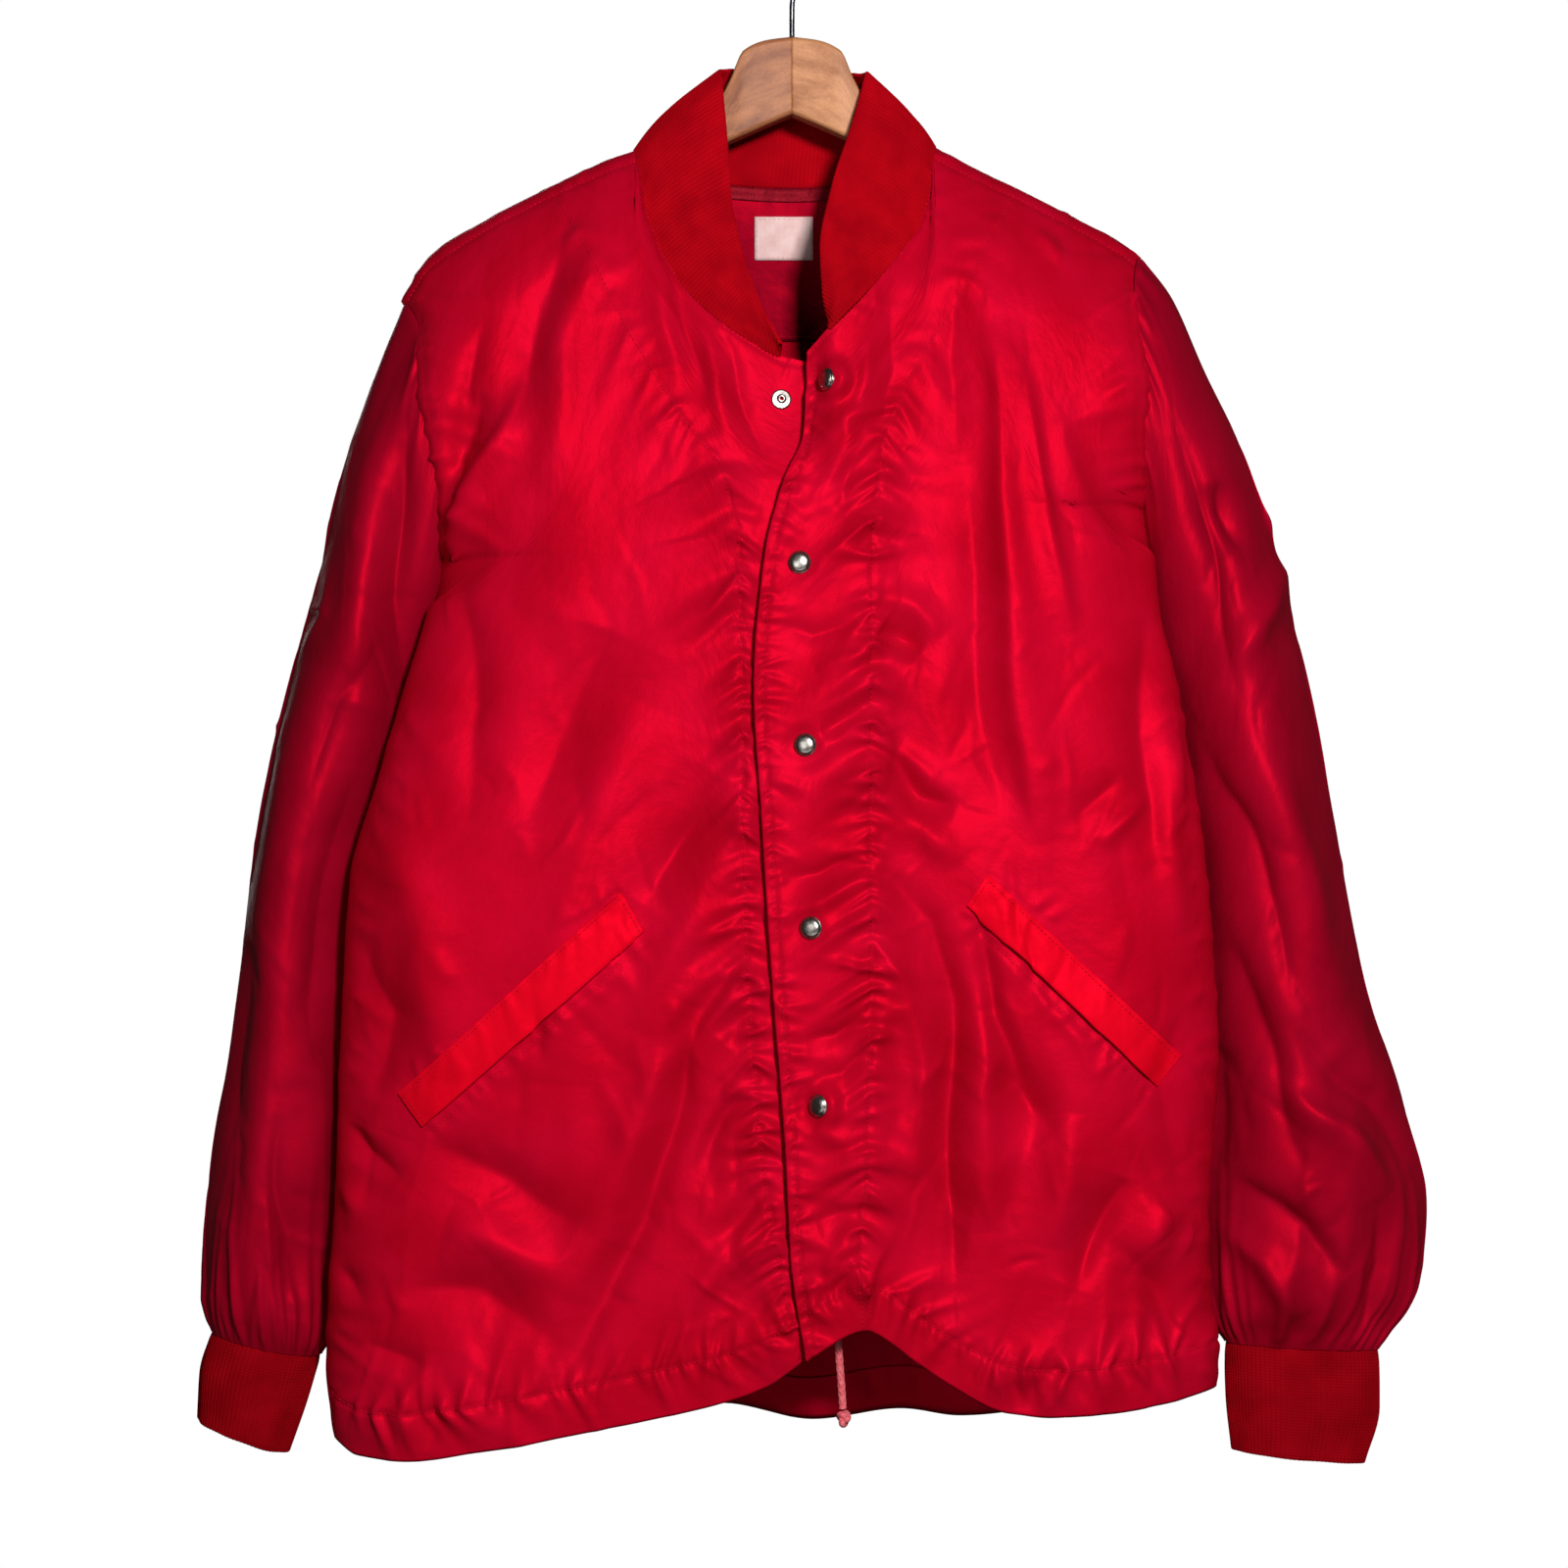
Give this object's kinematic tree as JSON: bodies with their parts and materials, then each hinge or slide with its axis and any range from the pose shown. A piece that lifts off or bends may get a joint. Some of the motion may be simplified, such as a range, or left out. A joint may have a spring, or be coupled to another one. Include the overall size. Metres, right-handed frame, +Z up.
{
  "type": "windbreaker on a wooden hanger",
  "caption": "Snap-front nylon windbreaker with a rib-knit collar and cuffs, slanted welt pockets and a drawcord hem, hung on a wooden hanger with a wire hook.",
  "frame": {"origin": "the point inside the top of the hanger's hook where a rail bears", "axes": "+Z up, front facing -Y, +X to the wearer's left"},
  "size_m": [0.6857, 0.1453, 0.8554],
  "materials": {
    "nylon": "glossy satin-weave nylon",
    "rib_knit": "matt rib knit",
    "label": "woven label, bare",
    "snap": "nickel plate, lightly nicked",
    "hanger_wood": "satin lacquered beech",
    "hanger_wire": "plated steel wire",
    "cord": "braided cotton cord, faded"
  },
  "bodies": {
    "root": {"front_right": "nylon", "front_left": "nylon", "back": "nylon", "back_facing": "nylon", "casing_right": "nylon", "casing_left": "nylon", "casing_back": "nylon", "sleeve_right": "nylon", "sleeve_left": "nylon", "welt_right": "nylon", "welt_left": "nylon", "collar": "rib_knit", "cuff_right": "rib_knit", "cuff_left": "rib_knit", "neck_label": "label", "snap_cap_1": "snap", "snap_cap_2": "snap", "snap_cap_3": "snap", "snap_cap_4": "snap", "snap_cap_5": "snap", "snap_socket_1": "snap", "snap_socket_2": "snap", "snap_socket_3": "snap", "snap_socket_4": "snap", "snap_socket_5": "snap", "snap_stud_1": "snap", "snap_stud_2": "snap", "snap_stud_3": "snap", "snap_stud_4": "snap", "snap_stud_5": "snap", "snap_back_1": "snap", "snap_back_2": "snap", "snap_back_3": "snap", "snap_back_4": "snap", "snap_back_5": "snap", "hanger_arm_right": "hanger_wood", "hanger_arm_left": "hanger_wood", "hanger_hook": "hanger_wire", "drawcord": "cord", "drawcord_knot": "cord"}
  },
  "joints": []
}
